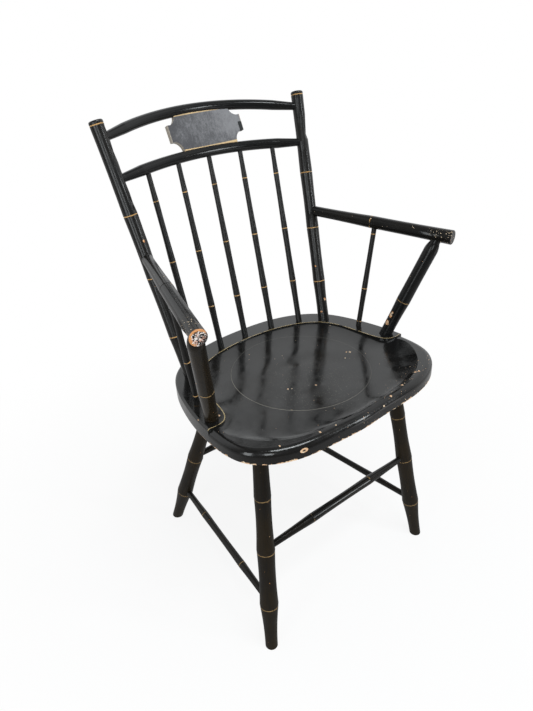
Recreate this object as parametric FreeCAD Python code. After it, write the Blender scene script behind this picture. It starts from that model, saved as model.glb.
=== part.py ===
import FreeCAD, Part
import math
import os

# Windsor armchair with a double rod back. Millimetres, +Z up, the sitter faces -Y.
# The origin is on the floor under the middle of the chair. Left is -X.
# A plank seat carries everything: four turned legs under it, and two back posts,
# five spindles, two arm supports and two arm spindles above it. All turned pieces
# are bamboo style: slightly hollow lengths between raised nodes with a scored ring.

V = FreeCAD.Vector

# Plank seat. Its top, the deck, falls towards the back.
deck_height = 428.3
seat_fall = 0.043
seat_thickness = 40.0
seat_front_y = -224.5
seat_back_y = 138.0
seat_half_width = 219.0
seat_widest_y = -110.5
under_bevel_height = 14.0
under_bevel_width = 18.0
front_roll_radius = 11.0
deck_edge_round = 4.0
deck_step = 2.4
deck_width = 41.5
deck_side_width = 49.0
ear_front_y = -94.5
dish_depth = 9.2
dish_from_front = 13.0

# How far a cutting shape reaches past what it cuts.
cut_spare = 1.0

# Clearance all round a tenon, and at the bottom of its socket.
joint_gap = 0.15

# Scored rings of the bamboo turnings.
ring_width = 1.6
ring_depth = 0.5

# Legs. Each is turned alike and tapers to a small foot.
leg_foot_diameter = 22.0
leg_low_swell_diameter = 32.6
leg_middle_swell_diameter = 31.4
leg_high_swell_diameter = 28.4
leg_top_diameter = 25.0
leg_low_ring = 88.0
leg_middle_ring = 200.0
leg_high_ring = 303.0
leg_swell_over_ring = 4.0
leg_ring_below_swell = 0.4
leg_waist = 1.3
leg_tenon = 22.0
front_leg_inset = 66.6
front_leg_from_front = 95.0
front_leg_splay_out = 44.8
front_leg_splay_forward = 69.8
rear_leg_inset = 114.0
rear_leg_from_back = 85.2
rear_leg_splay_out = 59.4
rear_leg_splay_back = 120.2

# Stretchers, placed by how far up the legs they enter.
side_stretcher_up = 96.0
cross_stretcher_up = 204.5
side_stretcher_ring_in = 91.0
front_stretcher_ring_in = 103.0
rear_stretcher_ring_in = 80.0
side_stretcher_ring_diameter = 14.0
cross_stretcher_ring_diameter = 17.0
stretcher_end_diameter = 11.6
stretcher_waist = 0.7
stretcher_past_centre = 6.0

# Plain length of a piece between its mate's surface and its own shoulder.
shoulder_room = 2.0

# Back posts, leaning out and back.
post_inset = 62.5
post_from_back = 85.5
post_lean_out = 39.4
post_lean_back = 125.5
post_rise = 405.2
post_foot_diameter = 21.4
post_ring_diameter = 23.0
post_top_diameter = 22.0
post_low_ring = 79.0
post_middle_ring = 182.0
post_high_ring = 284.0
post_cap_ring_drop = 6.0
post_top_round = 3.0
post_waist = 0.7
post_tenon = 26.0

# Two bent back rails between the posts, bowed to the back and a little upwards.
crest_rail_drop = 26.0
crest_rail_bow = 47.6
crest_rail_rise = 14.9
crest_rail_diameter = 16.6
crest_rail_end_diameter = 13.5
lower_rail_drop = 87.7
lower_rail_bow = 33.6
lower_rail_rise = 7.6
lower_rail_diameter = 17.2
lower_rail_end_diameter = 13.5
rail_straight_end = 50.0
rail_past_centre = 6.0

# Tablet between the rails, with scooped corners.
tablet_shift = 7.5
tablet_half_width = 72.5
tablet_top_half_width = 54.0
tablet_end_half_height = 13.8
tablet_scoop_foot = 66.0
tablet_scoop_hollow = 0.3
tablet_thickness = 8.0
tablet_tongue = 3.5
tablet_bend_radius = 650.0

# Five back spindles on an arc across the deck.
spindle_count = 5
spindle_row_from_back = 32.3
spindle_row_radius = 320.0
spindle_row_step = 10.8
spindle_top_spacing = 63.8
spindle_foot_diameter = 11.4
spindle_low_ring_diameter = 12.4
spindle_middle_ring_diameter = 11.2
spindle_high_ring_diameter = 9.6
spindle_top_diameter = 8.2
spindle_low_ring = 83.5
spindle_middle_ring = 185.5
spindle_high_ring = 286.5
spindle_waist = 0.5
spindle_tenon = 20.0
spindle_past_centre = 4.0

# Arms, from the posts to a flat front end.
arm_up_post = 214.5
arm_forward = 267.4
arm_spread = 76.0
arm_rise = -3.0
arm_rear_diameter = 18.2
arm_ring_diameter = 22.0
arm_front_diameter = 24.4
arm_ring = 129.0
arm_waist = 0.5
arm_front_bevel = 1.0
arm_tenon_diameter = 11.0
arm_tenon_past_centre = 6.0

# Arm supports, leaning out and forwards from the ears of the deck.
support_inset = 20.6
support_behind_ear_front = 21.9
support_from_arm_front = 24.0
support_foot_diameter = 22.4
support_ring_diameter = 24.8
support_shoulder_diameter = 24.0
support_top_diameter = 16.6
support_foot_ring = 9.0
support_ring = 75.0
support_shoulder_drop = 34.0
support_waist = 0.6
support_swell = 1.2
support_tenon = 22.0
support_past_centre = 5.0

# Short spindles under the arms.
arm_spindle_inset = 31.8
arm_spindle_from_back = 151.3
arm_spindle_from_arm_ring = 6.5
arm_spindle_foot_diameter = 9.8
arm_spindle_ring_diameter = 10.6
arm_spindle_top_diameter = 9.0
arm_spindle_ring = 77.0
arm_spindle_top_ring_drop = 20.0
arm_spindle_waist = 0.3
arm_spindle_tenon = 18.0
arm_spindle_past_centre = 5.0


def line(a, b):
    return Part.LineSegment(a, b).toShape()


def arc(a, middle, b):
    return Part.Arc(a, middle, b).toShape()


def drilled(shape, holes):
    for hole in holes:
        shape = shape.cut(hole)
    return shape


def along(a, b, distance):
    """Point on the line from a to b, at this distance from a."""
    return a + (b - a).normalize() * distance


def mirrored(point):
    return V(-point.x, point.y, point.z)


def deck_z(y):
    return deck_height - seat_fall * y


def on_deck(x, y):
    return V(x, y, deck_z(y))


def under_seat(x, y):
    return V(x, y, deck_z(y) - seat_thickness)


def set_on_axis(shape, start, end):
    """Moves a shape that was made along Z so that it stands on start and points at end."""
    shape.Placement = FreeCAD.Placement(start, FreeCAD.Rotation(V(0, 0, 1), end - start))
    return shape


def rod(start, end, before, length, diameter):
    """Plain cylinder on the line from start to end, beginning this far before start."""
    cylinder = Part.makeCylinder(diameter / 2, length, V(0, 0, -before))
    return set_on_axis(cylinder, start, end)


def socket(start, end, before, length, diameter):
    """Hole for a tenon that reaches this far before start."""
    return rod(start, end, before + joint_gap, length + joint_gap, diameter + 2 * joint_gap)


def half_section(marks):
    """Edges of a turning's profile. A mark is (height, diameter, waist below it, scored ring).
    A waist below zero is a swell."""
    edges = [line(V(0, 0, marks[0][0]), V(marks[0][1] / 2, 0, marks[0][0]))]
    here = V(marks[0][1] / 2, 0, marks[0][0])
    for height, diameter, waist, scored in marks[1:]:
        half_ring = ring_width / 2 if scored else 0.0
        reach = V(diameter / 2, 0, height - half_ring)
        if waist != 0:
            edges.append(arc(here, (here + reach) * 0.5 - V(waist, 0, 0), reach))
        else:
            edges.append(line(here, reach))
        here = reach
        if scored:
            bottom = V(diameter / 2 - ring_depth, 0, height)
            upper = V(diameter / 2, 0, height + half_ring)
            edges += [line(here, bottom), line(bottom, upper)]
            here = upper
    return edges, here


def turning(marks, edge_round=0.0):
    """Solid turned about Z from its marks, with a flat top whose edge may be rounded."""
    edges, here = half_section(marks)
    if edge_round > 0:
        inward = here + V(-edge_round, 0, edge_round)
        corner = here + V(-edge_round * 0.293, 0, edge_round * 0.707)
        edges.append(arc(here, corner, inward))
        here = inward
    top = V(0, 0, here.z)
    edges.append(line(here, top))
    edges.append(line(top, V(0, 0, marks[0][0])))
    face = Part.Face(Part.Wire(edges))
    return face.revolve(V(0, 0, 0), V(0, 0, 1), 360)


def closed_curve(half_points, z):
    """Smooth closed outline from points of its right half, front to back, mirrored on X."""
    right = [V(x, y, z) for x, y in half_points]
    left = [mirrored(point) for point in reversed(right[1:-1])]
    curve = Part.BSplineCurve()
    curve.interpolate(Points=right + left, PeriodicFlag=True)
    return Part.Wire(curve.toShape())


def seat_outline():
    """Right half of the seat seen from above: a rounded front, full sides and a narrower back."""
    w = seat_half_width
    fore = seat_widest_y - seat_front_y
    aft = seat_back_y - seat_widest_y
    return [
        (0.0, seat_front_y),
        (w * 0.36, seat_front_y + fore * 0.025),
        (w * 0.68, seat_front_y + fore * 0.125),
        (w * 0.945, seat_front_y + fore * 0.51),
        (w, seat_widest_y),
        (w * 0.978, seat_widest_y + aft * 0.28),
        (w * 0.925, seat_widest_y + aft * 0.49),
        (w * 0.79, seat_widest_y + aft * 0.755),
        (w * 0.52, seat_widest_y + aft * 0.927),
        (0.0, seat_back_y),
    ]


def deck_inner_edge():
    """Right half of the line where the deck drops to the dish, from the ear to the back."""
    w = seat_half_width - deck_side_width
    back = seat_back_y - deck_width
    depth = back - ear_front_y
    ear = seat_half_width - w
    return [
        (w + ear * 1.5, ear_front_y + depth * 0.005),
        (w + ear * 0.75, ear_front_y),
        (w + ear * 0.40, ear_front_y + depth * 0.012),
        (w + ear * 0.22, ear_front_y + depth * 0.055),
        (w + ear * 0.10, ear_front_y + depth * 0.13),
        (w, ear_front_y + depth * 0.26),
        (w * 0.97, ear_front_y + depth * 0.46),
        (w * 0.86, ear_front_y + depth * 0.73),
        (w * 0.64, ear_front_y + depth * 0.885),
        (w * 0.29, ear_front_y + depth * 0.98),
        (0.0, back),
    ]


def dish_outline(fore_scale, aft_scale):
    """Right half of one level line of the hollow. The first follows the roll and the deck,
    the others shrink towards the middle, faster behind than in front."""
    front = seat_front_y + dish_from_front
    back = seat_back_y - deck_width
    w = seat_half_width - dish_from_front
    rim = [
        (0.0, 0.0),
        (w * 0.36, 0.012),
        (w * 0.66, 0.058),
        (w * 0.90, 0.19),
        (w * 0.985, 0.335),
        (w * 0.90, 0.46),
        (w * 0.815, 0.66),
        (w * 0.68, 0.86),
        (w * 0.42, 0.965),
        (0.0, 1.0),
    ]
    middle = (front + back) / 2
    points = []
    for x, share in rim:
        scale = fore_scale + (aft_scale - fore_scale) * share
        points.append((x * scale, middle + (front + (back - front) * share - middle) * scale))
    return points


def lowered_area():
    """Block that holds all of the seat in front of the deck's inner edge."""
    base = -seat_thickness - cut_spare
    right = [V(x, y, base) for x, y in deck_inner_edge()]
    left = [mirrored(point) for point in reversed(right[:-1])]
    curve = Part.BSplineCurve()
    curve.interpolate(right + left)
    front = 2 * seat_front_y
    corner_right = V(right[0].x, front, base)
    corner_left = mirrored(corner_right)
    edges = [curve.toShape(), line(left[-1], corner_left)]
    edges += [line(corner_left, corner_right), line(corner_right, right[0])]
    return Part.Face(Part.Wire(edges)).extrude(V(0, 0, 2 * cut_spare + seat_thickness))


def edges_at(shape, z):
    """Level edges of a shape at one height."""
    return [edge for edge in shape.Edges
            if abs(edge.BoundBox.ZMin - z) < 0.001 and abs(edge.BoundBox.ZMax - z) < 0.001]


def seat_plank(top, edge_round):
    """Whole plank up to this level, with a rounded upper edge and a bevelled underside."""
    wire = closed_curve(seat_outline(), -seat_thickness)
    plank = Part.Face(wire).extrude(V(0, 0, seat_thickness + top))
    plank = plank.makeFillet(edge_round, edges_at(plank, top))
    return plank.makeChamfer(under_bevel_height, under_bevel_width, edges_at(plank, -seat_thickness))


def dish():
    """What is carved out of the plank. It falls steeply inside the front roll and gently elsewhere."""
    levels = [(1.0, 1.0, 0.0), (0.985, 0.95, 0.19), (0.967, 0.86, 0.42), (0.935, 0.70, 0.66),
              (0.84, 0.53, 0.79), (0.62, 0.35, 0.90), (0.30, 0.17, 1.0)]
    wires = [closed_curve(dish_outline(1.007, 1.025), -deck_step + cut_spare)]
    for fore_scale, aft_scale, share in levels:
        wires.append(closed_curve(dish_outline(fore_scale, aft_scale), -deck_step - dish_depth * share))
    ruled, closed, degree = False, False, 3
    return Part.makeLoft(wires, True, ruled, closed, degree)


def make_seat():
    """The dished front with its rolled edge, and the higher deck round the back with an ear under
    each arm support. Both are made in the seat's own flat frame, then tilted to its fall."""
    ahead = lowered_area()
    front = seat_plank(-deck_step, front_roll_radius).cut(dish()).common(ahead)
    deck = seat_plank(0.0, deck_edge_round).cut(ahead)
    seat = front.fuse(deck)
    seat.rotate(V(0, 0, 0), V(1, 0, 0), -math.degrees(math.atan(seat_fall)))
    seat.translate(V(0, 0, deck_height))
    return seat


def leg_axis(front, side):
    """Foot on the floor, and top where the axis enters the seat."""
    if front:
        top = under_seat(side * (seat_half_width - front_leg_inset), seat_front_y + front_leg_from_front)
        return V(top.x + side * front_leg_splay_out, top.y - front_leg_splay_forward, 0), top
    top = under_seat(side * (seat_half_width - rear_leg_inset), seat_back_y - rear_leg_from_back)
    return V(top.x + side * rear_leg_splay_out, top.y + rear_leg_splay_back, 0), top


def make_leg(foot, top):
    """Leg turned from foot to tenon, thickest just over each ring, with its foot sawn level."""
    entry = (top - foot).Length
    spare = leg_foot_diameter
    taper = (leg_low_swell_diameter - leg_foot_diameter) / leg_low_ring
    marks = [(-spare, leg_foot_diameter - spare * taper, 0, False), (0, leg_foot_diameter, 0, False)]
    swells = ((leg_low_ring, leg_low_swell_diameter), (leg_middle_ring, leg_middle_swell_diameter),
              (leg_high_ring, leg_high_swell_diameter))
    for ring, diameter in swells:
        marks.append((ring, diameter - 2 * leg_ring_below_swell, leg_waist, True))
        marks.append((ring + leg_swell_over_ring, diameter, 0, False))
    marks.append((entry - leg_top_diameter / 2, leg_top_diameter, leg_waist / 3, False))
    marks.append((entry + leg_tenon, leg_top_diameter, 0, False))
    leg = set_on_axis(turning(marks), foot, top)
    room = 4 * spare
    floor = Part.makeBox(room, room, room, V(foot.x - room / 2, foot.y - room / 2, -room))
    return leg.cut(floor)


def leg_socket(foot, top):
    spare = leg_top_diameter
    return socket(top, foot, leg_tenon, leg_tenon + spare, leg_top_diameter)


def stretcher(start, end, ring_in, ring_diameter):
    """Stretcher between two leg centres, with a scored ring near each end."""
    length = (end - start).Length
    plain = leg_low_swell_diameter / 2 + shoulder_room
    marks = [
        (-stretcher_past_centre, stretcher_end_diameter, 0, False),
        (plain, stretcher_end_diameter, 0, False),
        (ring_in, ring_diameter, stretcher_waist / 2, True),
        (length - ring_in, ring_diameter, stretcher_waist, True),
        (length - plain, stretcher_end_diameter, stretcher_waist / 2, False),
        (length + stretcher_past_centre, stretcher_end_diameter, 0, False),
    ]
    return set_on_axis(turning(marks), start, end)


def stretcher_socket(start, end):
    reach = leg_low_swell_diameter
    return socket(start, end, stretcher_past_centre, stretcher_past_centre + reach, stretcher_end_diameter)


def post_axis(side):
    foot = on_deck(side * (seat_half_width - post_inset), seat_back_y - post_from_back)
    return foot, foot + V(side * post_lean_out, post_lean_back, post_rise)


def make_post(foot, top):
    length = (top - foot).Length
    marks = [
        (-post_tenon, post_foot_diameter, 0, False),
        (post_foot_diameter / 2, post_foot_diameter, 0, False),
        (post_low_ring, post_ring_diameter, post_waist, True),
        (post_middle_ring, post_ring_diameter, post_waist, True),
        (post_high_ring, post_ring_diameter, post_waist, True),
        (length - post_cap_ring_drop, post_top_diameter, post_waist, True),
        (length - post_top_round, post_top_diameter, 0, False),
    ]
    return set_on_axis(turning(marks, post_top_round), foot, top)


def rail_circle(drop, bow, rise):
    """Centre, radius, plane and half angle of a rail's arc. Its straight ends carry on to the posts."""
    foot, top = post_axis(1)
    end = along(top, foot, drop)
    middle = V(0, end.y + bow, end.z + rise)
    half_angle = 2 * math.atan(math.hypot(bow, rise) / (end.x + rail_straight_end))
    radius = (end.x - rail_straight_end * math.cos(half_angle)) / math.sin(half_angle)
    backwards = V(0, bow, rise).normalize()
    return middle - backwards * radius, radius, backwards, half_angle


def rail_point(circle, angle):
    centre, radius, backwards, _ = circle
    return centre + V(math.sin(angle), 0, 0) * radius + backwards * (math.cos(angle) * radius)


def rail_end(circle, side):
    """Where the straight end of a rail starts, and where it meets the post's axis."""
    _, _, backwards, half_angle = circle
    start = rail_point(circle, side * half_angle)
    outwards = V(side * math.cos(half_angle), 0, 0) - backwards * math.sin(half_angle)
    return start, start + outwards * rail_straight_end


def bent_rail(circle, middle_diameter, end_diameter):
    """Round rod bent to its arc, with straight ends that taper to the posts."""
    centre, _, backwards, half_angle = circle
    start, meeting = rail_end(circle, 1)
    section = Part.Face(Part.Wire(Part.Circle(start, meeting - start, middle_diameter / 2).toShape()))
    axis = V(1, 0, 0).cross(backwards)
    rail = section.revolve(centre, axis, 2 * math.degrees(half_angle))
    plain = rail_straight_end - post_ring_diameter / 2 - shoulder_room
    marks = [
        (0, middle_diameter, 0, False),
        (plain, end_diameter, 0, False),
        (rail_straight_end + rail_past_centre, end_diameter, 0, False),
    ]
    for side in (1, -1):
        rail = rail.fuse(set_on_axis(turning(marks), *rail_end(circle, side)))
    return rail


def rail_socket(circle, diameter, side):
    """Hole in a post for the straight end of a rail."""
    start, meeting = rail_end(circle, side)
    return socket(meeting, start, rail_past_centre, rail_past_centre + post_ring_diameter, diameter)


def crest_circle():
    return rail_circle(crest_rail_drop, crest_rail_bow, crest_rail_rise)


def lower_circle():
    return rail_circle(lower_rail_drop, lower_rail_bow, lower_rail_rise)


def tablet_outline(half_height, end_room):
    """Board with four scooped corners, seen from the front, as a closed wire on XZ."""
    wide = tablet_half_width + end_room
    top = tablet_top_half_width + end_room
    foot = tablet_scoop_foot + end_room
    end = tablet_end_half_height
    hollow = tablet_scoop_hollow
    bend = V(top + hollow * (foot - top), 0, end + hollow * (half_height - end))
    edges = []
    for side, up in ((1, 1), (1, -1), (-1, -1), (-1, 1)):
        corner = V(side * top, 0, up * half_height)
        scoop = arc(corner, V(side * bend.x, 0, up * bend.z), V(side * foot, 0, up * end))
        edges += [scoop, line(V(side * foot, 0, up * end), V(side * wide, 0, up * end))]
    for side in (1, -1):
        edges.append(line(V(side * wide, 0, end), V(side * wide, 0, -end)))
        edges.append(line(V(-top, 0, side * half_height), V(top, 0, side * half_height)))
    return Part.Wire(Part.__sortEdges__(edges))


def make_tablet(grow=0.0):
    """Thin board bent to the rails, with a tongue along its top and bottom edges."""
    crest = rail_point(crest_circle(), 0)
    lower = rail_point(lower_circle(), 0)
    apart = (crest - lower).Length
    thinner = max(crest_rail_diameter, lower_rail_diameter) / 2
    half_height = apart / 2 - thinner + tablet_tongue + grow
    depth = 4 * tablet_thickness
    board = Part.Face(tablet_outline(half_height, grow)).extrude(V(0, 2 * depth, 0))
    board.translate(V(tablet_shift, -depth, 0))
    height = 2 * (half_height + cut_spare)
    axis_point = V(0, -tablet_bend_radius, -height / 2)
    half = tablet_thickness / 2 + grow
    outer = Part.makeCylinder(tablet_bend_radius + half, height, axis_point)
    inner = Part.makeCylinder(tablet_bend_radius - half, height, axis_point)
    board = board.common(outer.cut(inner))
    lean = math.degrees(math.atan2(crest.y - lower.y, crest.z - lower.z))
    board.rotate(V(0, 0, 0), V(1, 0, 0), -lean)
    board.translate((crest + lower) * 0.5)
    return board


def spindle_axis(number):
    """Foot on the deck and top on the lower rail's centre line, counted from the left."""
    place = number - (spindle_count + 1) / 2
    angle = math.radians(spindle_row_step * place)
    x = spindle_row_radius * math.sin(angle)
    y = seat_back_y - spindle_row_from_back - spindle_row_radius * (1 - math.cos(angle))
    circle = lower_circle()
    top = rail_point(circle, math.asin(place * spindle_top_spacing / circle[1]))
    return on_deck(x, y), top


def make_spindle(foot, top):
    length = (top - foot).Length
    marks = [
        (-spindle_tenon, spindle_foot_diameter, 0, False),
        (spindle_foot_diameter / 2, spindle_foot_diameter, 0, False),
        (spindle_low_ring, spindle_low_ring_diameter, spindle_waist, True),
        (spindle_middle_ring, spindle_middle_ring_diameter, spindle_waist, True),
        (spindle_high_ring, spindle_high_ring_diameter, spindle_waist, True),
        (length - lower_rail_diameter / 2 - shoulder_room, spindle_top_diameter, spindle_waist / 2, False),
        (length + spindle_past_centre, spindle_top_diameter, 0, False),
    ]
    return set_on_axis(turning(marks), foot, top)


def arm_axis(side):
    foot, top = post_axis(side)
    rear = along(foot, top, arm_up_post)
    return rear, rear + V(side * arm_spread, -arm_forward, arm_rise)


def make_arm(rear, front, side):
    """Round arm, coped to the post behind, with a tenon into it and a flat front end."""
    foot, top = post_axis(side)
    cope = rod(foot, top, 0, (top - foot).Length, post_ring_diameter)
    length = (front - rear).Length
    marks = [
        (0, arm_rear_diameter, 0, False),
        (post_ring_diameter / 2, arm_rear_diameter, 0, False),
        (arm_ring, arm_ring_diameter, arm_waist, True),
        (length - arm_front_bevel, arm_front_diameter, arm_waist, False),
        (length, arm_front_diameter - 2 * arm_front_bevel, 0, False),
    ]
    arm = set_on_axis(turning(marks), rear, front).cut(cope)
    tenon = rod(rear, front, arm_tenon_past_centre, arm_tenon_past_centre + post_ring_diameter,
                arm_tenon_diameter)
    return arm.fuse(tenon)


def arm_socket(rear, front):
    return socket(rear, front, arm_tenon_past_centre, arm_tenon_past_centre + post_ring_diameter,
                  arm_tenon_diameter)


def support_axis(side):
    rear, front = arm_axis(side)
    foot = on_deck(side * (seat_half_width - support_inset), ear_front_y + support_behind_ear_front)
    return foot, along(front, rear, support_from_arm_front)


def make_support(foot, top):
    length = (top - foot).Length
    marks = [
        (-support_tenon, support_foot_diameter, 0, False),
        (support_foot_ring, support_foot_diameter, 0, True),
        (support_ring, support_ring_diameter, support_waist, True),
        (length - support_shoulder_drop, support_shoulder_diameter, support_waist / 2, False),
        (length - arm_front_diameter / 2 - shoulder_room, support_top_diameter, -support_swell, False),
        (length + support_past_centre, support_top_diameter, 0, False),
    ]
    return set_on_axis(turning(marks), foot, top)


def arm_spindle_axis(side):
    rear, front = arm_axis(side)
    top = along(rear, front, arm_ring + arm_spindle_from_arm_ring)
    foot = on_deck(side * (seat_half_width - arm_spindle_inset), seat_back_y - arm_spindle_from_back)
    return foot, top


def make_arm_spindle(foot, top):
    length = (top - foot).Length
    marks = [
        (-arm_spindle_tenon, arm_spindle_foot_diameter, 0, False),
        (arm_spindle_foot_diameter, arm_spindle_foot_diameter, 0, True),
        (arm_spindle_ring, arm_spindle_ring_diameter, arm_spindle_waist, True),
        (length - arm_spindle_top_ring_drop, arm_spindle_top_diameter, arm_spindle_waist, True),
        (length + arm_spindle_past_centre, arm_spindle_top_diameter, 0, False),
    ]
    return set_on_axis(turning(marks), foot, top)


def tenon_in_deck(foot, top, tenon, diameter):
    return socket(foot, top, tenon, tenon + diameter, diameter)


def tenon_in_rod(foot, top, past, mate_diameter, diameter):
    """Hole for the far end of a piece that ends just past the centre of a round one."""
    return socket(top, foot, past, past + mate_diameter, diameter)


def build():
    parts = {}
    seat_holes = []
    sides = (("left", -1), ("right", 1))

    leg_cuts = {}
    axes = {}
    for side_name, side in sides:
        for row, front in (("front", True), ("rear", False)):
            name = row + "_" + side_name + "_leg"
            axes[name] = leg_axis(front, side)
            parts[name] = make_leg(*axes[name])
            leg_cuts[name] = []
            seat_holes.append(leg_socket(*axes[name]))

    def join_legs(name, first, second, up, ring_in, ring_diameter):
        start = along(*axes[first], up)
        end = along(*axes[second], up)
        parts[name] = stretcher(start, end, ring_in, ring_diameter)
        leg_cuts[first].append(stretcher_socket(start, end))
        leg_cuts[second].append(stretcher_socket(end, start))

    for side_name, side in sides:
        join_legs(side_name + "_side_stretcher", "front_" + side_name + "_leg",
                  "rear_" + side_name + "_leg", side_stretcher_up,
                  side_stretcher_ring_in, side_stretcher_ring_diameter)
    join_legs("front_stretcher", "front_left_leg", "front_right_leg", cross_stretcher_up,
              front_stretcher_ring_in, cross_stretcher_ring_diameter)
    join_legs("rear_stretcher", "rear_left_leg", "rear_right_leg", cross_stretcher_up,
              rear_stretcher_ring_in, cross_stretcher_ring_diameter)
    for name, cuts in leg_cuts.items():
        parts[name] = drilled(parts[name], cuts)

    crest = crest_circle()
    lower = lower_circle()
    parts["back_tablet"] = make_tablet()
    groove = make_tablet(joint_gap)
    crest_rail = bent_rail(crest, crest_rail_diameter, crest_rail_end_diameter)
    lower_rail = bent_rail(lower, lower_rail_diameter, lower_rail_end_diameter)
    rail_holes = [groove]
    for number in range(1, spindle_count + 1):
        foot, top = spindle_axis(number)
        parts["back_spindle_" + str(number)] = make_spindle(foot, top)
        seat_holes.append(tenon_in_deck(foot, top, spindle_tenon, spindle_foot_diameter))
        rail_holes.append(tenon_in_rod(foot, top, spindle_past_centre, lower_rail_diameter,
                                       spindle_top_diameter))
    parts["crest_rail"] = crest_rail.cut(groove)
    parts["lower_back_rail"] = drilled(lower_rail, rail_holes)

    for side_name, side in sides:
        foot, top = post_axis(side)
        post = make_post(foot, top)
        seat_holes.append(tenon_in_deck(foot, top, post_tenon, post_foot_diameter))
        rear, front = arm_axis(side)
        arm = make_arm(rear, front, side)
        holes = [rail_socket(crest, crest_rail_end_diameter, side),
                 rail_socket(lower, lower_rail_end_diameter, side), arm_socket(rear, front)]
        parts[side_name + "_back_post"] = drilled(post, holes)

        foot, top = support_axis(side)
        parts[side_name + "_arm_support"] = make_support(foot, top)
        seat_holes.append(tenon_in_deck(foot, top, support_tenon, support_foot_diameter))
        arm_holes = [tenon_in_rod(foot, top, support_past_centre, arm_front_diameter,
                                  support_top_diameter)]
        foot, top = arm_spindle_axis(side)
        parts[side_name + "_arm_spindle"] = make_arm_spindle(foot, top)
        seat_holes.append(tenon_in_deck(foot, top, arm_spindle_tenon, arm_spindle_foot_diameter))
        arm_holes.append(tenon_in_rod(foot, top, arm_spindle_past_centre, arm_ring_diameter,
                                      arm_spindle_top_diameter))
        parts[side_name + "_arm"] = drilled(arm, arm_holes)

    parts["seat"] = drilled(make_seat(), seat_holes)
    return parts


def main():
    os.makedirs("parts", exist_ok=True)
    for name, shape in build().items():
        solids = shape.Solids
        print(name, len(solids), "solid", round(shape.Volume / 1000, 1), "cm3", shape.isValid())
        solid = solids[0] if len(solids) == 1 else Part.makeCompound(solids)
        solid.exportStep("parts/" + name + ".step")


main()
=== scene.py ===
# %% [markdown]
# # A black windsor armchair
# The chair is all wood: a plank seat, bamboo style turnings, two bent rails and a small tablet.
# The joiner's work is the frame, which is loaded here and never changed. What is left for this
# lesson is the finish: glossy black paint, hand-drawn ochre lines, and a century of wear. Only the
# painted line round the seat's deck is made as a piece of its own.

# %% Load the frame
import math

import bmesh
import bpy
import numpy as np
from mathutils import Matrix, Vector


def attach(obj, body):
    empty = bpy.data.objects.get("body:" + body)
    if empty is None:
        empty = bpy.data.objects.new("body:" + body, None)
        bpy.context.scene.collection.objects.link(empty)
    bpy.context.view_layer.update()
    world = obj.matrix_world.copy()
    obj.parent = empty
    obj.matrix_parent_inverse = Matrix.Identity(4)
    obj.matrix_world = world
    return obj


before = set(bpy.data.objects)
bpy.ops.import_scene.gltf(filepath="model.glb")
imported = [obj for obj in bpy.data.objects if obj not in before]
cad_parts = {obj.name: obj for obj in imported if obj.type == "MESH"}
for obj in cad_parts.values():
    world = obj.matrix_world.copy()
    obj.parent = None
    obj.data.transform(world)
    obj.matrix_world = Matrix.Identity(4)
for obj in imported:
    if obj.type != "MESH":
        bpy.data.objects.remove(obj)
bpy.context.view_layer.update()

MM = 0.001
print("pieces in the frame:", len(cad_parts))

# %% [markdown]
# ## The camera
# The picture looks down at the chair from in front and from the sitter's right, through a fairly
# wide lens. The camera's place, aim and lens were found by matching the chair's joints to the
# picture. A camera looks along its own minus Z, so its matrix is made of three directions: across
# the picture, up it, and back out of it. Blender's sensor width runs along the long side of an
# upright picture.

# %% Camera
CAMERA_PLACE = Vector((-0.5584, -0.6803, 0.9714))
CAMERA_TARGET = Vector((-0.0096, 0.0288, 0.4200))
CAMERA_ROLL = -0.035
FOCAL_PIXELS = 575.0
PICTURE_HEIGHT = 711
SENSOR = 36.0
UP = Vector((0, 0, 1))


def place_camera():
    """A camera at the picture's viewpoint, level but for a slight roll."""
    view = (CAMERA_TARGET - CAMERA_PLACE).normalized()
    level = view.cross(UP).normalized()
    upright = level.cross(view)
    across = level * math.cos(CAMERA_ROLL) + upright * math.sin(CAMERA_ROLL)
    upward = upright * math.cos(CAMERA_ROLL) - level * math.sin(CAMERA_ROLL)
    turn = Matrix((across, upward, -view)).transposed().to_4x4()
    data = bpy.data.cameras.new("camera")
    data.sensor_width = SENSOR
    data.lens = FOCAL_PIXELS * SENSOR / PICTURE_HEIGHT
    camera = bpy.data.objects.new("camera", data)
    camera.matrix_world = Matrix.Translation(CAMERA_PLACE) @ turn
    bpy.context.scene.collection.objects.link(camera)
    bpy.context.scene.camera = camera
    return data.lens


print("camera lens in millimetres:", round(place_camera(), 2))

# %% [markdown]
# ## Small helpers for shader nodes
# Each finish is a tree of nodes. Written out in full, a node takes several lines, so a few helpers
# keep a tree readable. The first adds a node and fills or links its inputs. Each of the others
# stands for one or two nodes, and gives back the socket that holds the result.

# %% Node helpers


def add(tree, kind, inputs=None, **settings):
    """Adds a node, sets its settings, and fills or links its inputs by name or number."""
    made = tree.nodes.new(kind)
    for name, value in settings.items():
        setattr(made, name, value)
    for name, value in (inputs or {}).items():
        if isinstance(value, bpy.types.NodeSocket):
            tree.links.new(value, made.inputs[name])
        else:
            made.inputs[name].default_value = value
    return made


def sums(tree, operation, *terms):
    """Result of one Math node."""
    return add(tree, "ShaderNodeMath", dict(enumerate(terms)), operation=operation).outputs[0]


def plus(tree, base, extra, share):
    """A base value with this share of another one added."""
    return sums(tree, "ADD", base, sums(tree, "MULTIPLY", extra, share))


def vectors(tree, operation, *terms):
    """Place or direction that one Vector Math node works out."""
    made = add(tree, "ShaderNodeVectorMath", dict(enumerate(terms)), operation=operation)
    return made.outputs["Vector"]


def number(tree, operation, *terms):
    """Number that one Vector Math node works out, such as a length."""
    made = add(tree, "ShaderNodeVectorMath", dict(enumerate(terms)), operation=operation)
    return made.outputs["Value"]


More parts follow.
